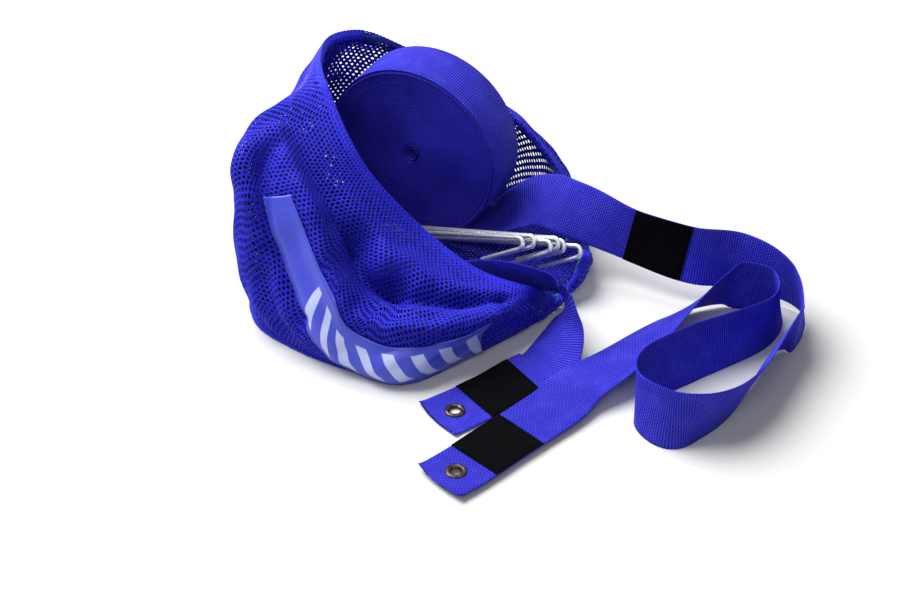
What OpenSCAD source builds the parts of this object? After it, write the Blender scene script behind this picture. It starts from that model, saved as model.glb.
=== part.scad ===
// Court boundary set: two rolls of flat webbing, their hooked ground pegs and
// the mesh drawstring bag that holds them. Millimetres, +Z up, standing on z = 0.

/* [Webbing] */
// Width of the webbing
web_w = 50; // [44:1:54]
// Thickness of the webbing
web_t = 0.9; // [0.6:0.1:1.2]
// Outer radius of the roll that stands in the mouth
roll_a_r = 83; // [76:1:84]
// Outer radius of the roll that lies deep in the bag
roll_b_r = 68; // [58:1:70]
// Radius of the small hole that the winding starts from
core_r = 5; // [4:1:10]
// Turns drawn in a roll, each for four real turns
turns = 24; // [16:1:24]
// Free gap between two drawn turns
turn_gap = 0.55; // [0.45:0.05:0.8]

/* [Fittings] */
// Bore of an eyelet
eyelet_bore = 9; // [6:0.5:10]
// Diameter of an eyelet over its flange
eyelet_od = 17; // [15:0.5:20]
// Wall of the eyelet barrel
eyelet_wall = 0.7; // [0.5:0.1:1]
// Height of the flange above the webbing
flange_h = 1.3; // [0.8:0.1:1.5]
// Thickness of the washer under the webbing
washer_t = 0.6; // [0.4:0.1:0.8]
// Distance from the tip of a strap to the centre of its eyelet
eyelet_in = 19; // [14:1:24]
// Length of a hook-and-loop patch along the strap
patch_len = 52; // [30:1:60]
// Thickness of a hook-and-loop patch
patch_t = 1.4; // [0.8:0.1:1.4]
// Distance from the tip of a strap to its patch
patch_in = 38; // [34:1:60]
// Strap left bare along each side of a patch
patch_edge = 0.5; // [0.5:0.5:3]

/* [Pegs] */
// Diameter of the peg wire
peg_d = 4; // [3:0.5:4]
// Length of the straight shaft of a peg
peg_len = 160; // [120:5:170]
// Length of the short leg of the hook
hook_len = 40; // [30:1:50]
// Centreline radius of the hook bend
hook_r = 5; // [4:0.5:7]
// Opening angle between the shaft and the short leg
hook_open = 16; // [8:1:24]
// Length of the ground point of the shaft
point_len = 12; // [6:1:20]

/* [Bag] */
// Thickness of the mesh wall
bag_t = 1.2; // [0.8:0.1:1.6]
// Thickness of the label band
band_t = 0.8; // [0.5:0.1:1.2]
// Gap between the label band and the mesh
band_gap = 1.3; // [1:0.1:1.6]
// Diameter of the drawcord
cord_d = 3; // [2:0.5:3.5]
// Depth of the drawcord below the rim, in tenths of a rim row
cord_drop = 2; // [1:1:4]
// Diameter of the cord lock barrel
lock_d = 15; // [13:0.5:18]
// Height of the cord lock barrel
lock_h = 18; // [16:0.5:22]
// Wall of the cord lock barrel
lock_wall = 1.8; // [1.2:0.1:2]
// Travel of the cord lock button
button_travel = 3; // [2:0.5:4]
// Wire of the cord lock spring
spring_wire = 0.6; // [0.5:0.1:0.8]
// Mean diameter of the cord lock spring
spring_d = 7; // [6:0.5:8]
// Curls of the cord lock spring
spring_turns = 4; // [3:1:5]

/* [Hidden] */

clear = 0.3;          // air left between soft pieces
fit = 0.1;            // running gap of a turned fit

blue = "#2a24b4";
light_blue = "#4a5ccc";
black = "#151519";
steel = "#c9ccd0";
brass = "#7a553a";
green = "#2f8a3c";

// ---- curves ---------------------------------------------------------------
function spline(a, b, c, d, t) =
    (2 * b + (c - a) * t + (2 * a - 5 * b + 4 * c - d) * t * t
     + (3 * b - a - 3 * c + d) * t * t * t) / 2;
function row(P, i) =
    i < 0 ? 2 * P[0] - P[1]
    : i >= len(P) ? 2 * P[len(P) - 1] - P[len(P) - 2]
    : P[i];
function along(P, u) =
    let (i = min(floor(u), len(P) - 2))
    spline(row(P, i - 1), P[i], P[i + 1], row(P, i + 2), u - i);
function around(P, u) =
    let (n = len(P), i = floor(u), k = (i % n + n) % n)
    spline(P[(k + n - 1) % n], P[k], P[(k + 1) % n], P[(k + 2) % n], u - i);
function unit(v) = v / norm(v);

// A closed solid skinned over equal rings of points, ends capped.
module skin(rings) {
    n = len(rings[0]);
    m = len(rings);
    side = [for (j = [0:m - 2]) for (i = [0:n - 1])
        let (a = j * n + i, b = j * n + (i + 1) % n)
        each i < n / 2 ? [[a, b, a + n], [b, b + n, a + n]] : [[a, b, b + n], [a, b + n, a + n]]];
    low = [for (i = [0:n / 2 - 2]) each [[i, n - 1 - i, i + 1], [i + 1, n - 1 - i, n - 2 - i]]];
    top = [for (f = low) [f[0], f[2], f[1]] + [1, 1, 1] * n * (m - 1)];
    polyhedron([for (r = rings) each r], concat(side, low, top), convexity = 12);
}

// A round wire along points, with a diameter at each.
module wire(P, D, sides) {
    n = len(P);
    dir = [for (i = [0:n - 1]) unit(P[min(i + 1, n - 1)] - P[max(i - 1, 0)])];
    skin([for (i = [0:n - 1])
        let (t = dir[i], a = unit(cross(t, abs(t[2]) > 0.7 ? [1, 1, 0] : [0, 0, 1])), b = cross(t, a))
        [for (s = [0:sides - 1]) let (turn = 360 * s / sides)
            P[i] + D[i] / 2 * (cos(turn) * a - sin(turn) * b)]]);
}
module tube(P, d, sides) { wire(P, [for (p = P) d], sides); }

// ---- where the pieces lie -------------------------------------------------
// Rolls: centre on the floor plan, and how far the front face is turned.
roll_a_at = [-83, 152];
roll_a_yaw = -27;
roll_a_leave = -65;   // angle round the roll where the free strap leaves it
roll_b_at = [-194, 60];
roll_b_yaw = -90;
roll_b_leave = -65;

function roll_z(r) = bag_t + clear + r;
function roll_point(at, yaw, r, a) =
    [at[0] + r * cos(a) * cos(yaw), at[1] + r * cos(a) * sin(yaw), r * sin(a)];

// A strap's rows: x, y, height of its lower edge, lean from upright in degrees.
route_a = [
    [-20, 120, 21, 80], [18, 109, 35, 54], [48, 86, 33, 32], [95, 56, 23, 9],
    [146, 35, 17, 20], [191, 35, 10, 14], [233, 1, 4, -13], [227, -47, 1, 4],
    [212, -63, 3, 22], [173, -132, 1, 21], [141, -162, 1, 11], [109, -168, 1, -12],
    [86, -143, 1, -2], [97, -112, 1, 12], [136, -83, 1, 14], [203, -42, 1, 1],
    [216, 1, 1, 13], [188, 11, 1, 3], [171, 6, 3, 21], [127, -24, 3, 50],
    [77, -80, 9.5, 74], [42, -108, 9.5, 88], [23, -130, 6.5, 90], [-21, -172, 5, 90],
    [-48, -199, 5, 90], [-70, -218, 5, 90]];
route_b = [
    [-192, -7, 19, 82], [-180, -23, 11, 56], [-158, -25, 5, 28], [-125, -24, 4, 22],
    [-85, -13, 3, 22], [-56, -2, 3, 20], [-31, 4, 8, 0], [21, -5, 21, -36],
    [35, -19, 8, -15], [34, -37, 1, 46], [16.5, -74, 2, 93], [-25, -106, 2, 90],
    [-48, -123, 2, 90], [-72, -140, 2, 90]];
patch_mid_row = 5;    // row of strap A where its middle patch starts

// Bag wall: five rows from the base up to the rim in each of 16 columns.
bag = [
    [[48, 52, 0], [58, 48, 10], [60, 44, 20], [58, 40, 30], [53, 38, 36]],
    [[50, 90, 0], [60, 90, 8], [62, 88, 14], [60, 84, 20], [54, 78, 25]],
    [[40, 148, 0], [52, 152, 18], [54, 150, 32], [50, 146, 44], [44, 134, 50]],
    [[10, 190, 0], [20, 194, 34], [22, 192, 62], [16, 182, 80], [5, 164, 95]],
    [[-50, 222, 0], [-46, 228, 45], [-46, 226, 85], [-48, 216, 112], [-50, 200, 124]],
    [[-110, 228, 0], [-108, 236, 50], [-108, 236, 95], [-107, 230, 128], [-104, 216, 148]],
    [[-158, 214, 0], [-165, 220, 50], [-164, 222, 100], [-156, 224, 140], [-137, 217, 162]],
    [[-194, 172, 0], [-204, 172, 50], [-202, 176, 100], [-186, 182, 143], [-166, 197, 167]],
    [[-222, 112, 0], [-233, 110, 55], [-230, 108, 108], [-198, 114, 146], [-172, 150, 170]],
    [[-232, 50, 0], [-237, 52, 55], [-237, 52, 112], [-224, 54, 158], [-160, 100, 163]],
    [[-224, -8, 0], [-235, -4, 45], [-235, 2, 95], [-220, 8, 141], [-142, 56, 143]],
    [[-190, -44, 0], [-200, -48, 35], [-190, -40, 72], [-165, -14, 110], [-120, 36, 115]],
    [[-142, -74, 0], [-146, -82, 20], [-138, -74, 45], [-108, -34, 76], [-76, 24, 70]],
    [[-96, -92, 0], [-95, -99, 18], [-86, -88, 38], [-62, -50, 56], [-34, -3, 52]],
    [[-42, -54, 0], [-36, -60, 14], [-24, -52, 30], [-8, -36, 42], [8, -15, 43]],
    [[10, -8, 0], [16, -10, 4], [20, -8, 6], [25, 0, 11], [31, 15, 14]]];
bag_rows = 4;         // spans between the five rows
per_column = 4;
per_row = 4;

// Label band, each edge as column and row of the bag wall: lower, then upper.
band = [
    [10.35, 2.75, 10.55, 3.2], [10.7, 2.3, 10.9, 2.9], [11, 1.95, 11.15, 2.55],
    [11.3, 1.55, 11.35, 2.35], [11.6, 0.8, 11.55, 2], [12, 0.15, 11.8, 1.8],
    [12.6, 0.1, 12.15, 1.8], [13.2, 0.2, 13, 2.2], [13.65, 0.4, 13.4, 2.35],
    [14.1, 1.2, 14, 2.35]];

// Pegs: they lean from the floor of the bag onto its rim. Each has a shift
// along its shaft, a shift across it and a turn in its own plane.
peg_foot = [-84, 118, -2.2];
peg_over = [0, -5, 9];    // from the rim's first column to the first bend
peg_leg_side = [0, -0.55, -0.83];
pegs = [[0, 0, 0], [-14, 4, -1], [-17, 6, 0], [-22, 3, 1], [-36, 7, -1], [-45, 5, 0]];
peg_gap = 0.4;

// Cord lock: hangs behind the peak of the rim, its button towards the room in the bag.
lock_at = [-178, 143, 116];
lock_yaw = 40;
cord_tail = 24;       // free cord below the lock

// ---- webbing --------------------------------------------------------------
function strap_route(route, at, yaw, r, lay, leave) =
    let (p = roll_point(at, yaw, lay, leave),
        t = [-sin(leave) * cos(yaw), -sin(leave) * sin(yaw), cos(leave)],
        start = [p[0], p[1], roll_z(r) + p[2]])
    concat([for (d = [clear, leave_run]) let (q = start + d * t) [q[0], q[1], q[2], 90]], route);
leave_run = 20;       // straight run before a strap starts to twist
lay_a = roll_a_r - web_t / 2;          // strap A goes on from its roll's last turn
lay_b = roll_b_r + clear + web_t / 2;  // strap B lies on its roll
rows_a = strap_route(route_a, roll_a_at, roll_a_yaw, roll_a_r, lay_a, roll_a_leave);
rows_b = strap_route(route_b, roll_b_at, roll_b_yaw, roll_b_r, lay_b, roll_b_leave);
per_strap_row = 3;
barrel_d = eyelet_bore + 2 * eyelet_wall;

function strap_mid(rows, u) =
    let (q = along(rows, u))
    [q[0], q[1], q[2] + web_w / 2 * abs(cos(q[3]))];
function strap_dir(rows, u) =
    let (a = max(u - 0.02, 0), b = min(u + 0.02, len(rows) - 1))
    unit(strap_mid(rows, b) - strap_mid(rows, a));
function strap_side(rows, u) =
    let (t = strap_dir(rows, u), left = unit([-t[1], t[0], 0]), up = cross(t, left), q = along(rows, u))
    cos(q[3]) * up + sin(q[3]) * left;
function strap_out(rows, u) = cross(strap_dir(rows, u), strap_side(rows, u));
function strap_cut(rows, u, half, o0, o1) =
    let (p = strap_mid(rows, u), s = strap_side(rows, u), o = strap_out(rows, u))
    [p + half * s + o0 * o, p - half * s + o0 * o, p - half * s + o1 * o, p + half * s + o1 * o];
// Between two drawn sections a strap is straight, and so is what lies on it.
function strap_ring(rows, u, half, o0, o1) =
    let (e = 0.001, a = floor((u + e) * per_strap_row) / per_strap_row, k = (u - a) * per_strap_row)
    k < e ? strap_cut(rows, a, half, o0, o1) :
    (1 - k) * strap_cut(rows, a, half, o0, o1) + k * strap_cut(rows, a + 1 / per_strap_row, half, o0, o1);

// Row position that lies a distance back from row u along the strap.
function back(rows, u, d) =
    d <= 0 ? u : back(rows, u - 0.02, d - norm(strap_mid(rows, u) - strap_mid(rows, u - 0.02)));
function tip_back(rows, d) = back(rows, len(rows) - 1, d);
function ahead(rows, u, d) =
    d <= 0 ? u : ahead(rows, u + 0.02, d - norm(strap_mid(rows, u + 0.02) - strap_mid(rows, u)));

module strap(rows, first, last, width, o0, o1) {
    e = 0.02;
    inner = [for (k = [ceil((first + e) * per_strap_row):floor((last - e) * per_strap_row)])
        k / per_strap_row];
    skin([for (u = concat([first], inner, [last])) strap_ring(rows, u, width / 2, o0, o1)]);
}
module tail(rows) {
    difference() {
        strap(rows, 0, len(rows) - 1, web_w, -web_t / 2, web_t / 2);
        at_eyelet(rows)
            cylinder(h = 20 * web_t, d = barrel_d + 2 * fit, center = true, $fn = 32);
    }
}
module patch(rows, first, last) {
    low = web_t / 2 + clear + fit;
    strap(rows, first, last, web_w - 2 * patch_edge, low, low + patch_t);
}
module at_eyelet(rows) {
    translate(strap_mid(rows, tip_back(rows, eyelet_in))) children();
}

// The spiral face of a roll, drawn in real sizes, from the hole to the end.
function pitch(r) = (r - core_r + turn_gap) / (turns + 1);
function spiral(r, a) = core_r + pitch(r) * a / 360;
ring_steps = 24;
function winding(r, leave) =
    let (n = turns * ring_steps, whole = 360 * turns)
    concat(
        [for (i = [0:n]) let (a = whole * i / n, d = leave - whole + a) spiral(r, a) * [cos(d), sin(d)]],
        [for (i = [n:-1:0]) let (a = whole * i / n, d = leave - whole + a)
            (spiral(r, a) + pitch(r) - turn_gap) * [cos(d), sin(d)]]);
function least_gap(r) =
    min([for (i = [0:(turns - 1) * ring_steps]) let (a = 360 * i / ring_steps)
        (spiral(r, a + 360) - spiral(r, a) - pitch(r) + turn_gap) * cos(180 / ring_steps)]);
echo("least gap between the turns of roll A", least_gap(roll_a_r));

module at_roll(at, yaw, r) {
    translate([at[0], at[1], roll_z(r)]) rotate([90, 0, yaw]) children();
}
module roll_a() {
    color(blue) at_roll(roll_a_at, roll_a_yaw, roll_a_r)
        linear_extrude(web_w, center = true) polygon(winding(roll_a_r, roll_a_leave));
}
module roll_b() {
    color(blue) at_roll(roll_b_at, roll_b_yaw, roll_b_r) difference() {
        cylinder(h = web_w, r = roll_b_r, center = true, $fn = 48);
        cylinder(h = 2 * web_w, r = core_r, center = true, $fn = 32);
    }
}
module tail_a() { color(blue) tail(rows_a); }
module tail_b() { color(blue) tail(rows_b); }
module patch_a_mid() {
    color(black) patch(rows_a, patch_mid_row, ahead(rows_a, patch_mid_row, patch_len));
}
module patch_end(rows) {
    patch(rows, tip_back(rows, patch_in + patch_len), tip_back(rows, patch_in));
}
module patch_a_end() { color(black) patch_end(rows_a); }
module patch_b_end() { color(black) patch_end(rows_b); }

// ---- eyelets --------------------------------------------------------------
module eyelet(rows) {
    r = eyelet_bore / 2;
    edge = (eyelet_od - eyelet_bore) / 2;
    top = web_t / 2;
    color(brass) at_eyelet(rows) rotate_extrude($fn = 32) polygon(concat(
        [[r, -top - washer_t], [r + eyelet_wall, -top - washer_t], [r + eyelet_wall, top]],
        [for (a = [0:30:180]) [r + edge / 2 * (1 + cos(a)), top + flange_h * sin(a)]]));
}
module washer(rows) {
    color(brass) at_eyelet(rows) translate([0, 0, -web_t / 2 - washer_t]) difference() {
        cylinder(h = washer_t, d = eyelet_od, $fn = 32);
        cylinder(h = 3 * washer_t, d = barrel_d + fit, center = true, $fn = 32);
    }
}
module eyelet_a() { eyelet(rows_a); }
module eyelet_b() { eyelet(rows_b); }
module eyelet_a_washer() { washer(rows_a); }
module eyelet_b_washer() { washer(rows_b); }

// ---- pegs -----------------------------------------------------------------
// A peg lies in its own plane: point, shaft, bend at the origin and short leg.
leg_turn = 180 - hook_open;
bend_steps = 12;
wire_sides = 12;
tip_d = peg_d / 4;        // blunt end of the ground point
cut_d = 0.7 * peg_d;      // bevelled end of the short leg
function on_bend(a) = hook_r * [sin(a), cos(a), 0];
leg_dir = [cos(leg_turn), -sin(leg_turn), 0];
module peg() {
    leg_tip = on_bend(leg_turn) + hook_len * leg_dir;
    points = concat(
        [[-peg_len, hook_r, 0], [point_len - peg_len, hook_r, 0]],
        [for (k = [0:bend_steps]) on_bend(leg_turn * k / bend_steps)],
        [leg_tip - tip_d * leg_dir, leg_tip]);
    last = len(points) - 1;
    wire(points, [for (i = [0:last]) i == 0 ? tip_d : i == last ? cut_d : peg_d], wire_sides);
}
peg_end = bag[0][bag_rows] + peg_over;
peg_x = unit(peg_end - peg_foot);
peg_y = -unit(peg_leg_side - (peg_leg_side * peg_x) * peg_x);
peg_z = cross(peg_x, peg_y);
peg_at = peg_end - (hook_r + peg_d / 2) * peg_x;
echo("axis of the pegs", [for (k = pegs) cos(k[2]) * peg_x + sin(k[2]) * peg_y]);
module peg_number(k) {
    color(steel) multmatrix([for (i = [0:2]) [peg_x[i], peg_y[i], peg_z[i], peg_at[i]]])
        translate([pegs[k][0], pegs[k][1], k * (peg_d + peg_gap)])
            rotate([0, 0, pegs[k][2]]) peg();
}
module peg_1() { peg_number(0); }
module peg_2() { peg_number(1); }
module peg_3() { peg_number(2); }
module peg_4() { peg_number(3); }
module peg_5() { peg_number(4); }
module peg_6() { peg_number(5); }

// ---- bag ------------------------------------------------------------------
function wall(u, v) = along([for (j = [0:bag_rows]) around([for (c = bag) c[j]], u)], v);
function wall_out(u, v) =
    let (e = 0.05, a = min(v + e, bag_rows), b = max(v - e, 0))
    unit(cross(wall(u + e, v) - wall(u - e, v), wall(u, a) - wall(u, b)));
function lifted(p, low) = [p[0], p[1], max(p[2], low)];
function inside(u, v, d) = lifted(wall(u, v), bag_t) - d * wall_out(u, v);

// Openings of the net, drawn coarse: each two cells wide, staggered from row to row.
function is_gap(i, j) =
    j % gap_every == 1 && j < bag_rows * per_row - hem_cells && (i + j) % gap_pitch < gap_cells;
gap_every = 2;    // cells from one row of openings to the next
gap_pitch = 4;    // cells from one opening to the next in a row
gap_cells = 2;    // cells across an opening
hem_cells = 2;    // closed cells below the rim
function two(q) = [[q[0], q[1], q[2]], [q[0], q[2], q[3]]];

module mesh_bag() {
    n = len(bag) * per_column;
    m = bag_rows * per_row;
    outer = [for (j = [0:m]) for (i = [0:n - 1]) lifted(wall(i / per_column, j / per_row), bag_t)];
    inner = [for (j = [0:m]) for (i = [0:n - 1])
        lifted(inside(i / per_column, j / per_row, bag_t), bag_t)];
    k = len(outer);
    faces = [for (j = [0:m - 1]) for (i = [0:n - 1])
        let (a = j * n + i, b = j * n + (i + 1) % n)
        if (!is_gap(i, j)) each [[a, a + n, b], [b, a + n, b + n],
              [k + a, k + b, k + a + n], [k + b, k + b + n, k + a + n]]];
    gap_sides = [for (j = [0:m - 1]) for (i = [0:n - 1])
        let (a = j * n + i, b = j * n + (i + 1) % n)
        if (is_gap(i, j)) each concat(
            two([b, a, k + a, k + b]), two([a + n, b + n, k + b + n, k + a + n]),
            is_gap((i + n - 1) % n, j) ? [] : two([a, a + n, k + a + n, k + a]),
            is_gap((i + 1) % n, j) ? [] : two([b + n, b, k + b, k + b + n]))];
    ends = [for (i = [0:n - 1])
        let (a = i, b = (i + 1) % n, c = m * n + i, d = m * n + (i + 1) % n)
        each [[a, b, k + a], [b, k + b, k + a], [c, k + c, d], [d, k + c, k + d]]];
    color(blue) polyhedron(concat(outer, inner), concat(faces, gap_sides, ends), convexity = 12);
}
module base_panel() {
    n = len(bag) * per_column;
    color(blue) linear_extrude(bag_t)
        polygon([for (i = [0:n - 1]) let (p = wall(i / per_column, 0)) [p[0], p[1]]]);
}
// The wall as it is drawn, flat between its sections.
function mix(p, q, k) = (1 - k) * p + k * q;
function drawn(u, v) =
    let (a = floor(u * per_column) / per_column, b = floor(v * per_row) / per_row,
        c = a + 1 / per_column, d = b + 1 / per_row, h = (u - a) * per_column)
    mix(mix(lifted(wall(a, b), bag_t), lifted(wall(c, b), bag_t), h),
        mix(lifted(wall(a, d), bag_t), lifted(wall(c, d), bag_t), h), (v - b) * per_row);
module label_band() {
    across = 8;
    per_band_row = 4;
    n = per_band_row * (len(band) - 1);
    rings = [for (i = [0:n]) let (q = along(band, i / per_band_row))
        [for (s = [2 * across + 1:-1:0])
            let (o = band_gap + (s > across ? band_t : 0), k = (s > across ? 2 * across + 1 - s : s) / across,
                u = q[0] + (q[2] - q[0]) * k, v = q[1] + (q[3] - q[1]) * k)
            drawn(u, v) + o * wall_out(u, v)]];
    color(light_blue) skin(rings);
}

// ---- drawcord and its lock ------------------------------------------------
cord_in = bag_t + 2 * clear + cord_d / 2;
cord_v = bag_rows - cord_drop / 10;
cord_first = 7.75;       // column of the wall where the cord leaves its lock
cord_open = 0.6;         // columns left free behind the lock
cord_steps = 60;
cord_bow = 4;            // straight cord above and below the lock
cord_u = [for (k = [0:cord_steps]) cord_first - (len(bag) - cord_open) * k / cord_steps];
lock_dir = [cos(lock_yaw), sin(lock_yaw), 0];
cord_half = cord_d / 2 + clear / 2;
function cord_end(s, drop) = lock_at + s * cord_half * lock_dir - [0, 0, drop];
cord_points = concat(
    [for (drop = [cord_tail, lock_h / 2 + cord_bow, 0, -lock_h / 2 - cord_bow]) cord_end(-1, drop)],
    [for (u = cord_u) inside(u, cord_v, cord_in)],
    [for (drop = [-lock_h / 2 - cord_bow, 0, lock_h / 2 + cord_bow, cord_tail]) cord_end(1, drop)]);

module drawcord() { color(green) tube(cord_points, cord_d, 8); }

// The lock lies across its two cords: a cup with a sprung plunger in it.
slot_wide = 2 * cord_d + 3 * clear;
slot_high = cord_d + 2 * clear;
plunger_d = lock_d - 2 * lock_wall - 2 * clear;
spring_room = button_travel + 4 * spring_wire;
plunger_head = button_travel + lock_wall;
slot_at = (lock_h + spring_room) / 2;
bottom_bevel = 2;
rim_bevel = 1;

module at_lock() {
    translate(lock_at) rotate([0, 0, lock_yaw]) rotate([90, 0, 0]) translate([0, 0, -slot_at]) children();
}
module cord_slot(at, high) {
    translate([-slot_wide / 2, -lock_d, at - high / 2]) cube([slot_wide, 2 * lock_d, high]);
}
module cord_lock_body() {
    color(green) at_lock() difference() {
        rotate_extrude($fn = 32) difference() {
            polygon([[0, 0], [lock_d / 2 - bottom_bevel, 0], [lock_d / 2, bottom_bevel],
                [lock_d / 2, lock_h - rim_bevel], [lock_d / 2 - rim_bevel, lock_h], [0, lock_h]]);
            translate([0, lock_wall]) square([lock_d / 2 - lock_wall, lock_h]);
        }
        cord_slot(slot_at, slot_high);
    }
}
module cord_lock_button() {
    base = lock_wall + spring_room;
    top = lock_h + plunger_head;
    color(green) at_lock() difference() {
        rotate_extrude($fn = 32) polygon([[0, base], [plunger_d / 2, base],
            [plunger_d / 2, top - rim_bevel], [plunger_d / 2 - rim_bevel, top], [0, top]]);
        cord_slot(slot_at + button_travel / 2, slot_high + button_travel);
    }
}
function coil(a) =
    let (r = spring_d / 2, rise = (spring_room - spring_wire - 2 * fit) / spring_turns)
    [r * cos(a), r * sin(a), lock_wall + fit + spring_wire / 2 + rise * a / 360];
module cord_lock_spring() {
    steps = 8 * spring_turns;
    color(steel) at_lock() tube([for (i = [0:steps]) coil(360 * spring_turns * i / steps)], spring_wire, 6);
}

mesh_bag();
base_panel();
label_band();
drawcord();
cord_lock_body();
cord_lock_button();
cord_lock_spring();
roll_a();
tail_a();
roll_b();
tail_b();
patch_a_mid();
patch_a_end();
patch_b_end();
eyelet_a();
eyelet_a_washer();
eyelet_b();
eyelet_b_washer();
peg_1();
peg_2();
peg_3();
peg_4();
peg_5();
peg_6();
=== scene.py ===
"""Court boundary set: two rolls of blue webbing, their tails and pegs, in a mesh drawstring bag."""
import math

import bpy
import numpy as np
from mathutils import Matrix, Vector


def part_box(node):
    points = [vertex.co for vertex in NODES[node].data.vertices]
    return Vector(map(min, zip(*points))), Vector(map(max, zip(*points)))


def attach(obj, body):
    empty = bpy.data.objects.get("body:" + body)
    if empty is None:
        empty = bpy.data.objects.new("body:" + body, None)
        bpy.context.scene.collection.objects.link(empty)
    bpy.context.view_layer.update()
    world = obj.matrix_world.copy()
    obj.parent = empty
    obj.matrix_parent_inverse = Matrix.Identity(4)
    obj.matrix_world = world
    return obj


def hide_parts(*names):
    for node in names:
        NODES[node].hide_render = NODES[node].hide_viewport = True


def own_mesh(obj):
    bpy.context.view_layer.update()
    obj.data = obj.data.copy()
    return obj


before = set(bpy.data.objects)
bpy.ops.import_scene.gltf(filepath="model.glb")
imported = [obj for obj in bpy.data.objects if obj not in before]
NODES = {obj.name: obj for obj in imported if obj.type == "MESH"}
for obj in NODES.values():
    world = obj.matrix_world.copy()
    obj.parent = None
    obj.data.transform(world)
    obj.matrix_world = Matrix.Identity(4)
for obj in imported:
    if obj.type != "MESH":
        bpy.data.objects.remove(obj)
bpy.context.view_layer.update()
rng = np.random.default_rng(7)
MM = 0.001

# ---- camera
CAMERA_AT = (-0.060, -1.270, 0.924)
CAMERA_TILT = 54.6  # degrees up from straight down
SENSOR, LENS = 36.0, 73.76


def add_object(name, data):
    thing = bpy.data.objects.new(name, data)
    bpy.context.scene.collection.objects.link(thing)
    return thing


def add_camera():
    data = bpy.data.cameras.new("camera")
    data.sensor_width = SENSOR
    data.lens = LENS
    camera = add_object("camera", data)
    camera.location = CAMERA_AT
    camera.rotation_euler = (math.radians(CAMERA_TILT), 0, 0)
    bpy.context.scene.camera = camera


add_camera()


# ---- curves
WAVES, WAVE_PITCH = 6, (0.7, 1.6)  # waves in the noise, and their pitch against its scale


def spline(a, b, c, d, t):
    """Catmull-Rom span from b to c."""
    return 0.5 * (2 * b + (c - a) * t + (2 * a - 5 * b + 4 * c - d) * t ** 2
                  + (3 * b - a - 3 * c + d) * t ** 3)


def along(points, u):
    """Open spline through points, at row positions u."""
    before, after = 2 * points[0] - points[1], 2 * points[-1] - points[-2]
    padded = np.concatenate([[before], points, [after]])
    i = np.clip(np.floor(u).astype(int), 0, len(points) - 2)
    t = (u - i).reshape(u.shape + (1,) * (points.ndim - 1))
    return spline(padded[i], padded[i + 1], padded[i + 2], padded[i + 3], t)


def around(points, u):
    """Closed spline through points, at column positions u."""
    i = np.floor(u).astype(int)
    t = (u - i).reshape(u.shape + (1,) * (points.ndim - 1))
    return spline(*(points[(i + k) % len(points)] for k in (-1, 0, 1, 2)), t)


def unit(v):
    return v / np.linalg.norm(v, axis=-1, keepdims=True)


def lengths(points):
    """Distance along a polyline up to each of its points."""
    steps = np.linalg.norm(np.diff(points, axis=0), axis=1)
    return np.concatenate([[0], np.cumsum(steps)])


def at(q, s, values):
    """Points read at lengths q from values known at lengths s."""
    return np.stack([np.interp(q, s, values[:, k]) for k in range(3)], -1)


def waves(x, y, scale, seed):
    """Smooth seeded noise of about -1..1 over two coordinates, bumps about scale apart."""
    own = np.random.default_rng(seed)
    total = 0
    for _ in range(WAVES):
        turn, phase = own.uniform(0, 2 * np.pi, 2)
        pitch = scale * own.uniform(*WAVE_PITCH)
        total += np.sin(2 * np.pi * (x * np.cos(turn) + y * np.sin(turn)) / pitch + phase)
    return total / math.sqrt(2 * WAVES)


# ---- bag wall
# Five rows from base to rim in each of 16 columns, as in the part, in millimetres.
BAG = MM * np.array([
    [[48, 52, 0], [58, 48, 10], [60, 44, 20], [58, 40, 30], [53, 38, 36]],
    [[50, 90, 0], [60, 90, 8], [62, 88, 14], [60, 84, 20], [54, 78, 25]],
    [[40, 148, 0], [52, 152, 18], [54, 150, 32], [50, 146, 44], [44, 134, 50]],
    [[10, 190, 0], [20, 194, 34], [22, 192, 62], [16, 182, 80], [5, 164, 95]],
    [[-50, 222, 0], [-46, 228, 45], [-46, 226, 85], [-48, 216, 112], [-50, 200, 124]],
    [[-110, 228, 0], [-108, 236, 50], [-108, 236, 95], [-107, 230, 128], [-104, 216, 148]],
    [[-158, 214, 0], [-165, 220, 50], [-164, 222, 100], [-156, 224, 140], [-137, 217, 162]],
    [[-194, 172, 0], [-204, 172, 50], [-202, 176, 100], [-186, 182, 143], [-166, 197, 167]],
    [[-222, 112, 0], [-233, 110, 55], [-230, 108, 108], [-198, 114, 146], [-172, 150, 170]],
    [[-232, 50, 0], [-237, 52, 55], [-237, 52, 112], [-224, 54, 158], [-160, 100, 163]],
    [[-224, -8, 0], [-235, -4, 45], [-235, 2, 95], [-220, 8, 141], [-142, 56, 143]],
    [[-190, -44, 0], [-200, -48, 35], [-190, -40, 72], [-165, -14, 110], [-120, 36, 115]],
    [[-142, -74, 0], [-146, -82, 20], [-138, -74, 45], [-108, -34, 76], [-76, 24, 70]],
    [[-96, -92, 0], [-95, -99, 18], [-86, -88, 38], [-62, -50, 56], [-34, -3, 52]],
    [[-42, -54, 0], [-36, -60, 14], [-24, -52, 30], [-8, -36, 42], [8, -15, 43]],
    [[10, -8, 0], [16, -10, 4], [20, -8, 6], [25, 0, 11], [31, 15, 14]]])
COLUMNS, ROWS = len(BAG), BAG.shape[1] - 1
BAG_T = 1.2 * MM  # wall of the part's bag
CLEAR = 0.3 * MM  # gap to what lies against it
COLUMN_GAP, ROW_GAP = 50, 40  # usual gaps of columns and rows, in mm
# Small wrinkles: height, and for each kind its waves round, pitch upwards and phase.
WRINKLE_H = 0.55 * MM
WRINKLES = ((9, 0.11, 0.4), (14, -0.08, 1.9), (23, 0.06, 3.1), (31, -0.045, 5.0))
PLAIN, FADE = 0.35, 0.5  # rows without folds under the rim, and rows over which folds fade
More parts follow.
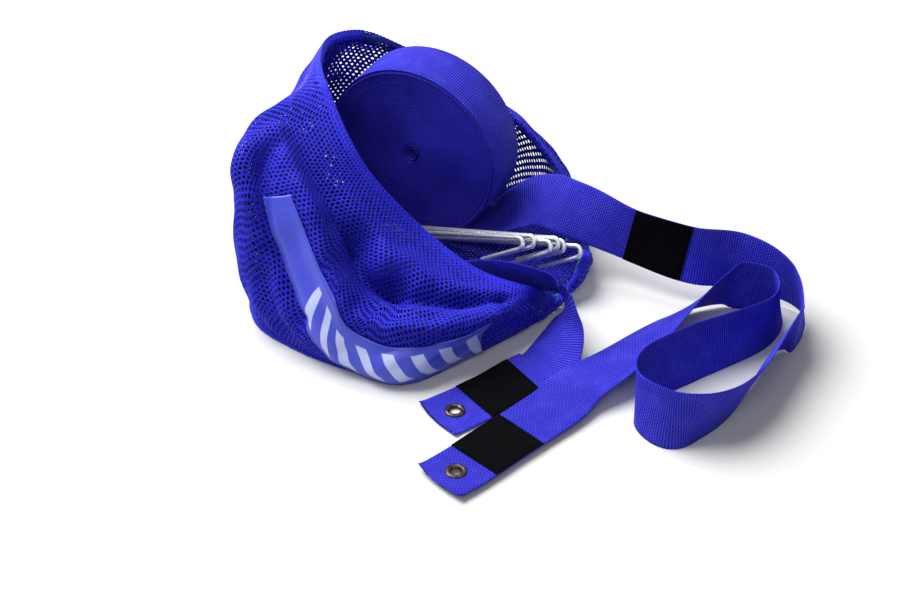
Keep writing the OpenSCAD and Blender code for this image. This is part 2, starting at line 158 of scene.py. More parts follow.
# Folds: depth inwards and half width in mm, then column and row along the crease.
FOLDS = [
    (25, 11, [(11.5, 3.14), (11.71, 2.79), (11.96, 2.71), (12.21, 2.82)]),
    (14, 9, [(10.1, 3.55), (10.67, 3.45), (11.21, 3.2), (11.5, 3.14)]),
    (12, 7, [(12.24, 2.71), (12.75, 2.87), (13.25, 2.99), (13.79, 3.08)]),
    (-15, 10, [(9.53, 3.42), (10.29, 3.34), (10.92, 2.92), (11.33, 2.54), (11.71, 2.25)]),
    (-12, 9, [(11.87, 2.12), (12.33, 2.17), (12.92, 2.25), (13.5, 2.38), (13.8, 2.62)]),
    (-6, 13, [(10.54, 3.71), (11.42, 3.38), (12.12, 3.21), (13, 3.34), (13.79, 3.36)]),
    (10, 7, [(9.78, 3.33), (10.29, 2.88), (10.58, 2.3), (10.96, 1.84), (11.33, 1.38)]),
    (-6, 12, [(9.66, 3), (10.21, 2.62), (10.46, 1.75)]),
    (5, 9, [(10.54, 2), (10.71, 1.34), (10.96, 0.63)]),
    (4, 8, [(12, 1.17), (12.75, 1.93), (13.25, 2.08)]),
    (5, 12, [(4.4, 3), (4.6, 2), (4.5, 1)]),
    (5, 12, [(7, 3), (7.2, 2), (7.1, 1)]),
    (4, 9, [(1.6, 3), (1.8, 2), (1.7, 1)])]
GRID_U, GRID_V = 24 * COLUMNS, 96  # cells of the table of the cloth


def plain_wall(u, v):
    """The wall as the part draws it, at columns u and rows v of equal shape."""
    columns = around(BAG, u)
    padded = np.concatenate([2 * columns[:, :1] - columns[:, 1:2], columns,
                             2 * columns[:, -1:] - columns[:, -2:-1]], axis=1)
    i = np.clip(np.floor(v).astype(int), 0, ROWS - 1)
    row = np.arange(len(v))
    return spline(*(padded[row, i + k] for k in range(4)), (v - i)[:, None])


def grid_normals(grid):
    """Outward normals of a grid of points whose columns go round."""
    across = np.roll(grid, -1, axis=0) - np.roll(grid, 1, axis=0)
    return unit(np.cross(across, np.gradient(grid, axis=1)))


def folded_wall():
    """Grid of the folded cloth, from column 0 round and from the base up."""
    u, v = np.meshgrid(np.arange(GRID_U) * COLUMNS / GRID_U,
                       np.linspace(0, ROWS, GRID_V + 1), indexing="ij")
    grid = plain_wall(u.ravel(), v.ravel()).reshape(u.shape + (3,))
    push = np.zeros(u.shape)
    for depth, half, crease in FOLDS:
        q = along(np.array(crease), np.linspace(0, len(crease) - 1, 8 * len(crease)))
        line = plain_wall(q[:, 0], q[:, 1])
        near = np.min([np.linalg.norm(grid - p, axis=2) for p in line], axis=0)
        push -= depth * MM * np.exp(-(near / (half * MM)) ** 2)
    around_m = u * COLUMN_GAP * MM
    up_m = v * ROW_GAP * MM
    period = COLUMNS * COLUMN_GAP * MM
    push += WRINKLE_H * sum(np.sin(2 * np.pi * (k * around_m / period + up_m / pitch) + phase)
                            for k, pitch, phase in WRINKLES)
    at_rim = np.clip((ROWS - PLAIN - v) / FADE, 0, 1)
    at_base = np.clip(v / FADE, 0, 1)
    grid = grid + grid_normals(grid) * (push * at_rim * at_base)[..., None]
    grid[..., 2] = np.maximum(grid[..., 2], BAG_T)
    return grid


def from_grid(grid, i, j):
    """Values of a grid at fractional cells i, which goes round, and j."""
    j = np.clip(j, 0, grid.shape[1] - 1.001)  # a little less than the last row
    i0, j0 = np.floor(i).astype(int), np.floor(j).astype(int)
    a, b = (i - i0)[..., None], (j - j0)[..., None]
    i0, i1 = i0 % grid.shape[0], (i0 + 1) % grid.shape[0]
    return ((1 - a) * ((1 - b) * grid[i0, j0] + b * grid[i0, j0 + 1])
            + a * ((1 - b) * grid[i1, j0] + b * grid[i1, j0 + 1]))


WALL = folded_wall()
WALL_OUT = grid_normals(WALL)


def cloth(u, v, lift=0.0):
    """The folded cloth at column u and row v, lifted outwards."""
    i, j = u * GRID_U / COLUMNS, v * GRID_V / ROWS
    out = from_grid(WALL_OUT, i, j)
    return from_grid(WALL, i, j) + unit(out) * np.asarray(lift)[..., None]


# ---- drawcord route
CORD_D = 3 * MM
CORD_V = ROWS - 0.2  # row of the wall that it follows, and how far inside
CORD_IN = BAG_T + 2 * CLEAR + CORD_D / 2
CORD_FIRST, CORD_OPEN = 7.75, 0.6  # column where it enters the rim, and columns left open
CORD_POINTS = 60  # along the rim
CORD_TAIL, CORD_BOW = 24 * MM, 4 * MM  # its end under the lock's middle, its run beyond the lock
LOCK_AT = MM * np.array([-178, 143, 116])
LOCK_YAW = math.radians(40)
LOCK_SIDE = np.array([math.cos(LOCK_YAW), math.sin(LOCK_YAW), 0])
LOCK_H = 18 * MM
LOCK_ASIDE, LOCK_OVER = 3 * MM, 15 * MM  # room round and over it where the cord is straight
EASE_STEP, EASE_PASSES = 1.5 * MM, 40  # distance of its points, and rounds of easing


def cord_route():
    """Up through the lock, round inside the rim and back down, as in the part."""
    half = CORD_D / 2 + CLEAR / 2
    drops = [CORD_TAIL, LOCK_H / 2 + CORD_BOW, 0, -LOCK_H / 2 - CORD_BOW]
    first = [LOCK_AT - half * LOCK_SIDE - [0, 0, d] for d in drops]
    last = [LOCK_AT + half * LOCK_SIDE - [0, 0, d] for d in drops[::-1]]
    u = CORD_FIRST - (COLUMNS - CORD_OPEN) * np.arange(CORD_POINTS + 1) / CORD_POINTS
    v, e = u * 0 + CORD_V, 0.05
    up = plain_wall(u, v + e) - plain_wall(u, v - e)
    side = plain_wall(u + e, v) - plain_wall(u - e, v)
    ring = plain_wall(u, v) - CORD_IN * unit(np.cross(side, up))
    return np.concatenate([first, ring, last])


def at_lock(points):
    """Whether points lie on the stretch that the lock slides on."""
    aside = np.linalg.norm((points - LOCK_AT)[:, :2], axis=1)
    return (aside < LOCK_ASIDE) & (points[:, 2] < LOCK_AT[2] + LOCK_OVER)


def eased(points):
    """A path at even steps with its corners rounded, except at the lock."""
    s = lengths(points)
    path = at(np.linspace(0, s[-1], int(s[-1] / EASE_STEP) + 1), s, points)
    held = at_lock(path)
    held[[0, -1]] = True
    for _ in range(EASE_PASSES):
        smooth = path.copy()
        smooth[1:-1] = 0.25 * path[:-2] + 0.5 * path[1:-1] + 0.25 * path[2:]
        path = np.where(held[:, None], path, smooth)
    return path


# ---- meshes
def mesh_piece(name, verts, faces, materials, uv=None, slots=None):
    """A smooth mesh object; uv is one pair for each corner of each face."""
    mesh = bpy.data.meshes.new(name)
    faces = faces.tolist() if isinstance(faces, np.ndarray) else faces
    mesh.from_pydata(np.asarray(verts, float).tolist(), [], faces)
    for m in materials:
        mesh.materials.append(m)
    if slots is not None:
        mesh.polygons.foreach_set("material_index", np.asarray(slots, np.int32))
    mesh.polygons.foreach_set("use_smooth", np.full(len(mesh.polygons), True))
    if uv is not None:
        layer = mesh.uv_layers.new(name="UVMap")
        layer.data.foreach_set("uv", np.asarray(uv, float).ravel())
    mesh.update()
    return add_object(name, mesh)


def ring_faces(n, m, closed=True):
    """Quads between n rings of m points; closed joins the last point of a ring to its first."""
    i, j = np.meshgrid(np.arange(n - 1), np.arange(m if closed else m - 1), indexing="ij")
    k = (j + 1) % m
    return np.stack([i * m + j, i * m + k, (i + 1) * m + k, (i + 1) * m + j], -1).reshape(-1, 4)


def loft(name, rings, s, w, materials, slot_of=None, drop=None):
    """Capped skin over closed rings; s is each ring's place along, w each point's place round.

    slot_of(j) gives the material of the faces at point j, and drop(middles) the faces left out.
    """
    n, m = rings.shape[:2]
    faces = ring_faces(n, m)
    i, j = faces[:, 0] // m, faces[:, 0] % m
    s, w = np.asarray(s), np.append(w, 2 * w[-1] - w[-2])
    corners = (0, 0), (0, 1), (1, 1), (1, 0)
    uv = np.stack([np.stack([s[i + a], w[j + b]], -1) for a, b in corners], 1)
    slots = np.zeros(len(faces), int) if slot_of is None else slot_of(j)
    if drop is not None:
        kept = ~drop(rings.reshape(-1, 3)[faces].mean(1))
        faces, uv, slots = faces[kept], uv[kept], slots[kept]
    faces = faces.tolist() + [list(range(m))[::-1], [(n - 1) * m + q for q in range(m)]]
    first, last = (np.stack([np.full(m, end), w[:m]], -1) for end in (s[0], s[-1]))
    uv = np.concatenate([uv.reshape(-1, 2), first[::-1], last])
    slots = np.append(slots, [slots[-1], slots[-1]])
    return mesh_piece(name, rings.reshape(-1, 3), faces, materials, uv, slots)


def wire_rings(path, radius, sides):
    """Rings round a path, carried along it without twist."""
    t = unit(np.gradient(path, axis=0))
    a = np.cross(t[0], [0.3, 0.5, 0.8])  # any direction that no path starts in
    turn = 2 * np.pi * np.arange(sides) / sides
    rings = []
    for p, d, r in zip(path, t, np.broadcast_to(radius, len(path))):
        a = a - d * np.dot(a, d)
        a = a / np.linalg.norm(a)
        b = np.cross(d, a)
        rings.append(p + r * (np.cos(turn)[:, None] * a + np.sin(turn)[:, None] * b))
    return np.array(rings)


def wire(name, path, radius, material):
    """A round wire along a path."""
    return loft(name, wire_rings(path, radius, 8), lengths(path), np.arange(8) * MM, [material])


def stitches(name, path, out, pitch, length, radius, material):
    """Short raised threads along a path, each dipping into the cloth at both ends."""
    s = lengths(path)
    arch = np.array([-0.6, 0.5, 0.8, 0.5, -0.6])  # height of a thread, in radii
    taper = np.array([0.5, 0.9, 1, 0.9, 0.5])  # its thickness
    sides = 5
    verts, faces = [], []
    for start in np.arange(pitch / 2, s[-1] - length, pitch):
        q = start + length * np.linspace(0, 1, len(arch))
        p, o = at(q, s, path), unit(at(q, s, out))
        ring = wire_rings(p + o * (arch * radius)[:, None], radius * taper, sides)
        faces.append(ring_faces(len(arch), sides) + len(verts) * sides * len(arch))
        verts.append(ring.reshape(-1, 3))
    return mesh_piece(name, np.concatenate(verts), np.concatenate(faces), [material])


# ---- materials
def linear(r, g, b):
    """Scene colour of an 8-bit display colour."""
    return (*(c / 12.92 if c <= 0.04045 else ((c + 0.055) / 1.055) ** 2.4
              for c in (r / 255, g / 255, b / 255)), 1.0)


class Nodes:
    """A node tree, built by naming what feeds what."""

    def __init__(self, owner):
        owner.use_nodes = True
        self.tree = owner.node_tree

    def node(self, kind, settings=None, **inputs):
        """A node with its inputs fed by name, or by number as i0, i1 and so on."""
        n = self.tree.nodes.new("ShaderNode" + kind)
        for key, value in (settings or {}).items():
            setattr(n, key, value)
        for key, value in inputs.items():
            self.feed(n, int(key[1:]) if key[1:].isdigit() else key.replace("_", " "), value)
        return n

    def feed(self, n, key, value):
        socket = n.inputs[key]
        if isinstance(value, bpy.types.NodeSocket):
            self.tree.links.new(value, socket)
        else:
            socket.default_value = value

    def math(self, operation, a, b=0.0, c=0.0):
        return self.node("Math", {"operation": operation}, i0=a, i1=b, i2=c).outputs[0]

    def ramp(self, value, low, high, a=0.0, b=1.0):
        return self.node("MapRange", Value=value, From_Min=low, From_Max=high,
                         To_Min=a, To_Max=b).outputs[0]


class Look(Nodes):
    """A material."""

    def __init__(self, name):
        self.material = bpy.data.materials.new(name)
        super().__init__(self.material)
        self.shader = self.tree.nodes["Principled BSDF"]

    def uv(self):
        """Places along and across."""
        return self.node("SeparateXYZ", Vector=self.node("UVMap").outputs[0]).outputs[:2]

    def place(self):
        return self.node("TexCoord").outputs["Object"]

    def noise(self, scale, detail=3.0):
        n = self.node("TexNoise", Scale=scale, Detail=detail, Roughness=0.55, Vector=self.place())
        return n.outputs["Fac"]

    def cells(self, scale, output="Distance"):
        """Small cells: the distance from their middles, or a Color of their own."""
        n = self.node("TexVoronoi", {"feature": "F1"}, Vector=self.place(), Scale=scale)
        return n.outputs[output]

    def sine(self, coordinate, pitch):
        return self.math("SINE", self.math("MULTIPLY", coordinate, 2 * math.pi / pitch))

    def wave(self, coordinate, pitch):
        """0..1 ribs along a coordinate in metres."""
        return self.math("MULTIPLY_ADD", self.sine(coordinate, pitch), 0.5, 0.5)

    def mix(self, factor, a, b):
        """A blend of a and b, each a socket or an 8-bit display colour."""
        n = self.node("Mix", {"data_type": "RGBA"})
        for key, value in ((0, factor), (6, a), (7, b)):
            self.feed(n, key, linear(*value) if isinstance(value, tuple) else value)
        return n.outputs[2]

    def bump(self, height, distance, strength=1.0, normal=None):
        n = self.node("Bump", Height=height, Distance=distance, Strength=strength)
        if normal is not None:
            self.feed(n, "Normal", normal)
        return n.outputs[0]

    def finish(self, color, roughness, normal=None, metallic=0.0, sheen=0.0, specular=0.5, **more):
        for key, value in (("Base Color", color), ("Roughness", roughness), ("Metallic", metallic),
                           ("Sheen Weight", sheen), ("Specular IOR Level", specular)):
            self.feed(self.shader, key, value)
        if normal is not None:
            self.feed(self.shader, "Normal", normal)
        for key, value in more.items():
            self.feed(self.shader, key.replace("_", " "), value)
        return self.material


RIB = 2.0 * MM  # pitch of the webbing's ribs
PICK = 1.6 * MM  # pitch of its cross threads
BLUE = (72, 70, 236)
# Dark blue of the webbing: painted shade in the rib grooves, and dark specks at random
BLUE_GROOVE_SHADE_AND_SPECKS = (21, 18, 116)
BLUE_LIT = (94, 94, 240)


def webbing_look():
    """Ribs across the strap, over and under its lengthwise threads by turns, with painted shade in
    the grooves between the ribs.
    """
    k = Look("webbing")
    s, w = k.uv()
    rib = k.wave(s, RIB)
    over = k.math("MULTIPLY", k.sine(s, 2 * RIB), k.sine(w, 2 * PICK))
    weave = k.math("MULTIPLY_ADD", over, 0.2, k.math("MULTIPLY_ADD", rib, 0.6, 0.2))
    weave = k.math("MULTIPLY_ADD", k.noise(700, 2), 0.3, weave)
    # Low weave goes to the dark blue: painted shade in the grooves between ribs, with the cross
    # threads and noise varying the tone
    color = k.mix(k.ramp(weave, 0.3, 1.1), BLUE_GROOVE_SHADE_AND_SPECKS, BLUE)
    color = k.mix(k.ramp(k.noise(60, 4), 0.45, 0.8, 0, 0.22), color, BLUE_LIT)
    color = k.mix(k.ramp(k.noise(900, 2), 0.35, 0.7, 0, 0.25), color, BLUE_GROOVE_SHADE_AND_SPECKS)
    normal = k.bump(weave, 0.7 * MM, 1.0, k.bump(k.noise(2500, 2), 0.08 * MM, 0.5))
    return k.finish(color, k.ramp(rib, 0, 1, 0.75, 0.6), normal, specular=0.08)


def selvedge_look():
    """The strap's edge: a knot at each rib with painted shade between the knots, and fuzz."""
    k = Look("webbing_edge")
    rough = k.math("ADD", k.wave(k.uv()[0], RIB), k.noise(1400))
    # Dark between the knots: painted shade in the gaps between ribs; the noise varies the tone at
    # random
    color = k.mix(k.ramp(rough, 0.6, 1.3), (17, 15, 106), (66, 62, 226))
    color = k.mix(k.ramp(k.noise(35), 0.4, 0.7, 0, 0.35), color, (20, 16, 112))
    return k.finish(color, 0.8, k.bump(rough, 0.3 * MM, 0.9), specular=0.06)


def net_look(name, deep, main, glow=0.5):
    """Knitted thread with painted shade where the loops meet; glow is how far light soaks through
    it.
    """
    k = Look(name)
    loops = k.cells(1300.0)
    # Darker towards the loops' edges, which the bump sinks: painted shade between the loops; the
    # next line's clouds vary the tone at random
    color = k.mix(k.ramp(loops, 0.1, 0.75), main, deep)
    color = k.mix(k.ramp(k.noise(22), 0.4, 0.75, 0, 0.25), color, deep)
    normal = k.bump(loops, -0.2 * MM, 0.7, k.bump(k.noise(1800, 2), 0.08 * MM, 0.4))
    return k.finish(color, 0.65, normal, specular=0.12, Subsurface_Weight=glow,
                    Subsurface_Scale=2 * MM, Subsurface_Radius=(1, 1, 1))


def band_look():
    """Satin print cloth with plain slanted bars."""
    k = Look("label_band")
    s, w = k.uv()
    slant = k.math("MULTIPLY_ADD", w, 0.018, s)
    bars = k.math("FRACT", k.math("DIVIDE", slant, 0.024))
    bar = k.math("MULTIPLY", k.ramp(bars, 0.10, 0.13), k.ramp(bars, 0.58, 0.55))
    inner = k.math("MULTIPLY", k.ramp(w, 0.14, 0.17), k.ramp(w, 0.86, 0.83))
    printed = k.math("MULTIPLY", bar, k.math("MULTIPLY", inner, k.ramp(s, 0.086, 0.087)))
    ground = k.mix(k.ramp(k.noise(40), 0.3, 0.7, 0, 0.4), (54, 66, 196), (44, 52, 176))
    color = k.mix(printed, ground, (178, 188, 232))
    weave = k.math("ADD", k.wave(s, 0.5 * MM), k.wave(k.math("MULTIPLY", w, 0.07), 0.5 * MM))
    normal = k.bump(weave, 0.03 * MM, 0.5, k.bump(k.noise(90), 1.2 * MM, 0.5))
    return k.finish(color, 0.38, normal, sheen=0.05)


def hook_look():
    k = Look("hook_tape")
    hooks = k.cells(1100.0)
    # Darker towards the edges of the cells, which the bump sinks: painted shade between the hooks;
    # the next line's patches vary the tone at random
    color = k.mix(k.ramp(hooks, 0.1, 0.8), (8, 8, 11), (2, 2, 4))
    color = k.mix(k.ramp(k.noise(70, 4), 0.5, 0.75, 0, 0.35), color, (13, 13, 19))
    normal = k.bump(hooks, -0.5 * MM, 1.0, k.bump(k.noise(2200, 2), 0.2 * MM, 0.6))
    return k.finish(color, 0.9, normal, specular=0.04)


def thread_look(name, color, shine):
    k = Look(name)
    ply = k.noise(3000, 2)
    color = k.mix(ply, color, k.mix(0.5, color, (0, 0, 0)))
    return k.finish(color, 0.6, k.bump(ply, 0.1 * MM, 0.6), specular=shine)


def steel_look():
    k = Look("galvanised_wire")
    patchy = k.noise(90, 4)
    tone = k.node("RGBToBW", Color=k.cells(180.0, "Color")).outputs[0]
    color = k.mix(k.ramp(patchy, 0.3, 0.7), (226, 228, 232), (196, 199, 204))
    color = k.mix(k.ramp(tone, 0, 1, 0, 0.2), color, (170, 174, 180))
    return k.finish(color, k.ramp(patchy, 0.3, 0.7, 0.24, 0.34),
                    k.bump(k.noise(1500, 2), 0.01 * MM, 0.3), metallic=0.75)


def brass_look():
    k = Look("antique_brass")
    rubbed = k.noise(300, 4)
    color = k.mix(k.ramp(rubbed, 0.40, 0.70), (50, 41, 38), (94, 78, 70))
    return k.finish(color, k.ramp(rubbed, 0.3, 0.7, 0.38, 0.28),
                    k.bump(k.noise(1200), 0.02 * MM, 0.3), metallic=1.0)


def plastic_look():
    k = Look("green_plastic")
    grain = k.noise(900)
    color = k.mix(k.noise(60, 2), (28, 128, 58), (20, 104, 46))
    return k.finish(color, k.ramp(grain, 0.3, 0.7, 0.32, 0.45), k.bump(grain, 0.05 * MM, 0.5))


def cord_look():
    k = Look("green_cord")
    braid = k.cells(900.0)
    # Darker towards the edges of the braid's cells, which the bump sinks: painted shade between the
    # strands
    color = k.mix(k.ramp(braid, 0.1, 0.8), (26, 118, 62), (8, 54, 32))
    return k.finish(color, 0.6, k.bump(braid, -0.3 * MM, 0.9), sheen=0.1)


WEBBING, SELVEDGE = webbing_look(), selvedge_look()
NET = net_look("bag_mesh", (22, 22, 152), (53, 53, 230))
# A darker copy of the net for the inner ring of each hole: painted shade on the yarn's underside in
# the hole's throat
NET_THROAT_SHADE = net_look("bag_mesh_throat_painted_shade", (8, 7, 74), (20, 17, 134), 0)
# A brighter copy of the net for the deep back hem: painted light on threads that the lamps leave in
# shade
NET_PAINTED_LIGHT = net_look("bag_mesh_doubled_painted_light", (34, 34, 172), (68, 68, 238))
BAND, HOOK = band_look(), hook_look()
STEEL, BRASS, PLASTIC, CORD = steel_look(), brass_look(), plastic_look(), cord_look()
BLUE_THREAD = thread_look("blue_thread", (30, 24, 150), 0.3)
BLACK_THREAD = thread_look("black_thread", (3, 3, 5), 0.02)


# ---- drawcord
KNOT, KNOT_WIRE = 3.2 * MM, 0.45 * CORD_D  # half a knot's width, and its cord's radius
KNOT_UNDER = 1.5 * MM  # a knot's middle under the end of the cord


def knot_path(middle, size):
    """An overhand knot, drawn as a trefoil."""
    a = np.linspace(0, 2 * np.pi, 49)
    r = size * (0.62 + 0.38 * np.cos(3 * a))
    z = 0.55 * size * np.sin(3 * a)
    return middle + np.stack([r * np.cos(2 * a), r * np.sin(2 * a), z], -1)


def add_drawcord():
    path = eased(cord_route())
    curve = bpy.data.curves.new("drawcord_cord", "CURVE")
    curve.dimensions = "3D"
    curve.bevel_depth = CORD_D / 2
    curve.bevel_resolution = 3
    run = curve.splines.new("POLY")
    run.points.add(len(path) - 1)
    run.points.foreach_set("co", np.c_[path, np.ones(len(path))].ravel())
    curve.materials.append(CORD)
    cord = add_object("drawcord_cord", curve)
    knots = [wire(name, knot_path(end - [0, 0, KNOT_UNDER], KNOT), KNOT_WIRE, CORD)
             for name, end in (("cord_knot_1", path[0]), ("cord_knot_2", path[-1]))]
    for thing in (*knots, cord):
        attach(thing, "bag")
    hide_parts("drawcord")
    float(lengths(path)[-1])


add_drawcord()

# ---- bag net
NET_COLUMNS = 200
NET_ROW, BASE_COLUMN = 3.55 * MM, 4.1 * MM  # pitch of the net's rows, and of the base's columns
HOLE = 0.60  # size of a hole against its cell, at the face of the knit
HEM_HOLE = 0.50  # the same where the hem is doubled
BACK_HOLE = 0.80  # the same where the deep hem at the back is doubled
CROSSED = (0.45, 1.1)  # share of it that the second layer leaves open
BUNCHED_HOLE = 0.38  # the same where the knit is bunched behind the second roll
LOBE = (-120 * MM, 80 * MM)  # that part of the bag is left of this x and behind this y
CASING_HOLE = 0.18  # the same round the drawcord
PEAK_HOLE, PEAK_END = 0.78, 6  # the same at the peak, and the column where the peak ends
UNEVEN = (0.86, 1.14)  # range by which single holes differ
THROAT = 0.70  # size of a hole at the back of the knit, against its face
SINK, DEEP = 0.3 * MM, 0.9 * MM  # depth of a hole's edge, and of its throat
HEM, BACK_HEM, CASING = 18 * MM, 60 * MM, 9 * MM  # depths of the hems and of the cord's casing
BACK = (2.6, 3.6, 8.2, 9.4)  # columns where the deep hem begins, is full, and ends
# How the doubled cloth draws in under the rim: depth below it, and how far in.
TUCK = MM * np.array([(-1, 0), (0, 0.5), (3, 5.2), (6, 6.6), (9, 6.2), (14, 2.6), (18, 1.4)]).T
CLOTH_STEP = 1.5 * MM  # rows of the wall's table by depth
BASE_AT, BASE_FILL = 0.7 * MM, 0.75  # height of the base net, and how much of its box it fills
BINDING_R = 1.7 * MM


def even_columns():
    """Column positions of equal spacing along the upper half of the wall."""
    upper = WALL[:, GRID_V // 2:]
    steps = np.linalg.norm(np.roll(upper, -1, axis=0) - upper, axis=2).mean(1)
    return np.concatenate([[0], np.cumsum(steps)]), np.arange(GRID_U + 1, dtype=float)


def by_depth():
    """The wall read down from the rim at even steps, and how deep it goes at each column."""
    down, out = WALL[:, ::-1], WALL_OUT[:, ::-1]
    depth = np.stack([lengths(column) for column in down])
    s = np.arange(int(depth.max() / CLOTH_STEP) + 2) * CLOTH_STEP
    table, outs = (np.stack([at(s, *pair) for pair in zip(depth, grid)]) for grid in (down, out))
    return table, unit(outs), depth[:, -1]


LOOP_S, LOOP_U = even_columns()
DOWN, DOWN_OUT, DEPTH = by_depth()


def hem_depth(i):
    """How far down the hem reaches at a column of the wall's grid."""
    return np.interp(i * COLUMNS / GRID_U, BACK, [HEM, BACK_HEM, BACK_HEM, HEM])


def net_column(x):
    """Column of the wall's grid at lattice column x."""
    return np.interp((x % NET_COLUMNS) / NET_COLUMNS * LOOP_S[-1], LOOP_S, LOOP_U)


def net_place(x, y, lift):
    """Lattice point at column x and row y, its depth under the rim, and the wall's full depth.

    Rows begin at the inner edge of the hem, go up to the rim and on down the outside.
    """
    i = net_column(x)
    s = y * NET_ROW - hem_depth(i)
    deep = np.interp(i, LOOP_U, np.append(DEPTH, DEPTH[0]))
    j = np.minimum(np.abs(s), deep) / CLOTH_STEP
    out = unit(from_grid(DOWN_OUT, i, j))
    return from_grid(DOWN, i, j) + out * (lift - np.interp(-s, *TUCK))[..., None], s, deep


def honeycomb(name, columns, rows, place, keep, hole_size, materials, wrap=True, lit=None):
    """A net of six-sided holes.

    place(x, y, lift) puts a lattice point, keep(x, y) picks cells, hole_size(x, y) gives their
    holes, lit(x, y) picks those with the third material, and wrap makes the columns go round.
    """
    r, c = np.meshgrid(np.arange(-1, rows + 2), np.arange(columns), indexing="ij")
    x = c + 0.5 * (r % 2)
    third = 1 / 3
    count = x.size
    tops, bottoms = (place(x.ravel(), (r + half).ravel(), 0) for half in (2 * third, -2 * third))

    def top(rr, cc):
        return (rr + 1) * columns + cc % columns

    def bottom(rr, cc):
        return count + top(rr, cc)

    r, c = (a.ravel() for a in np.meshgrid(np.arange(rows), np.arange(columns), indexing="ij"))
    odd = r % 2
    x, y = c + 0.5 * odd, r.astype(float)
    kept = keep(x, y)
    if not wrap:
        kept &= (c > 0) & (c < columns - 1)
    r, c, odd, x, y = r[kept], c[kept], odd[kept], x[kept], y[kept]
    rim = np.stack([top(r, c), bottom(r + 1, c + odd), top(r - 1, c + odd), bottom(r, c),
                    top(r - 1, c - 1 + odd), bottom(r + 1, c - 1 + odd)], 1)
    corners = [(0, 2 * third), (0.5, third), (0.5, -third),
               (0, -2 * third), (-0.5, -third), (-0.5, third)]
    face_size = hole_size(x, y) * np.random.default_rng(21).uniform(*UNEVEN, x.size)
    rings, verts, faces = [rim], [tops, bottoms], []
    for size, depth in ((face_size, SINK), (face_size * THROAT, DEEP)):
        ring = np.stack([place(x + size * a, y + size * b, -depth) for a, b in corners], 1)
        rings.append(sum(map(len, verts)) + np.arange(ring.size // 3).reshape(-1, 6))
        verts.append(ring.reshape(-1, 3))
    nxt = np.roll(np.arange(6), -1)
    for outer, inner in zip(rings, rings[1:]):
        faces.append(np.stack([outer, outer[:, nxt], inner[:, nxt], inner], -1).reshape(-1, 4))
    # Face rings take the first material; throat rings take the second, the darker net that paints
    # shade in the holes
    slots = np.repeat([0, 1], 6 * len(r))
    if lit is not None:
        slots[:6 * len(r)] += 2 * np.repeat(lit(x, y), 6)
    used, faces = np.unique(np.concatenate(faces), return_inverse=True)
    faces = faces.reshape(-1, 4)[:, ::-1]
    return mesh_piece(name, np.concatenate(verts)[used], faces, materials, slots=slots)


def add_bag_net():
    rows = int((DEPTH.max() + BACK_HEM) / NET_ROW) + 2

    def keep(x, y):
        _, s, deep = net_place(x, y, 0)
        return s < deep - 0.3 * NET_ROW

    def hole_size(x, y):
        i = net_column(x)
        hem = hem_depth(i)
        s = np.abs(y * NET_ROW - hem)
        back = (hem - HEM) / (BACK_HEM - HEM)
        crossed = np.random.default_rng(8).uniform(*CROSSED, len(x))
        doubled = HEM_HOLE + back * (BACK_HOLE * crossed - HEM_HOLE)
        p = net_place(x, y, 0)[0]
        single = np.where((p[:, 0] < LOBE[0]) & (p[:, 1] > LOBE[1]), BUNCHED_HOLE, HOLE)
        peak = back * (i * COLUMNS / GRID_U < PEAK_END)
        casing = CASING_HOLE + peak * (PEAK_HOLE - CASING_HOLE)
        return np.where(s < CASING, casing, np.where(s < hem, doubled, single))

    # Cells of the deep back hem, which take the painted-light copy of the net
    def lit(x, y):
        hem = hem_depth(net_column(x))
        return (hem > (HEM + BACK_HEM) / 2) & (np.abs(y * NET_ROW - hem) < hem)

    bag = honeycomb("bag_net", NET_COLUMNS, rows, lambda x, y, lift: net_place(x, y, lift)[0],
                    keep, hole_size, [NET, NET_THROAT_SHADE, NET_PAINTED_LIGHT], lit=lit)
    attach(bag, "bag")
    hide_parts("mesh_bag")


def inside_outline(x, y, outline):
    """Whether points lie inside a closed outline."""
    inside = np.zeros(x.shape, bool)
    for (ax, ay), (bx, by) in zip(outline, np.roll(outline, -1, axis=0)):
        if by != ay:
            inside ^= ((ay > y) != (by > y)) & (x < (bx - ax) * (y - ay) / (by - ay) + ax)
    return inside


def add_base_net():
    outline = WALL[:, 0, :2]
    low, high = outline.min(0), outline.max(0)
    size = high - low
    columns, rows = int(size[0] / BASE_COLUMN) + 2, int(size[1] / NET_ROW) + 2

    def place(x, y, lift):
        z = np.full(len(x), BASE_AT - lift)
        return np.stack([low[0] + x * BASE_COLUMN, low[1] + y * NET_ROW, z], -1)

    def keep(x, y):
        p = place(x, y, 0)
        return inside_outline(p[:, 0], p[:, 1], outline[::4])

    base = honeycomb("base_net", columns, rows, place, keep, lambda x, y: np.full(len(y), HOLE),
                     [NET, NET_THROAT_SHADE], wrap=False)
    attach(base, "bag")
    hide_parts("base_panel")


def add_base_seam():
    """The binding that joins the wall to the base."""
    low = from_grid(WALL, np.arange(0, GRID_U, 2.0), np.full(GRID_U // 2, 0.6))
    low[:, 2] = BINDING_R + 0.2 * MM
    path = np.concatenate([low, low[:1]])
    radius = BINDING_R * (1 + 0.12 * waves(lengths(path), 0, 0.012, seed=13))
    seam = wire("base_binding", path, radius, NET)
    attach(seam, "bag")


add_bag_net()
add_base_net()
add_base_seam()

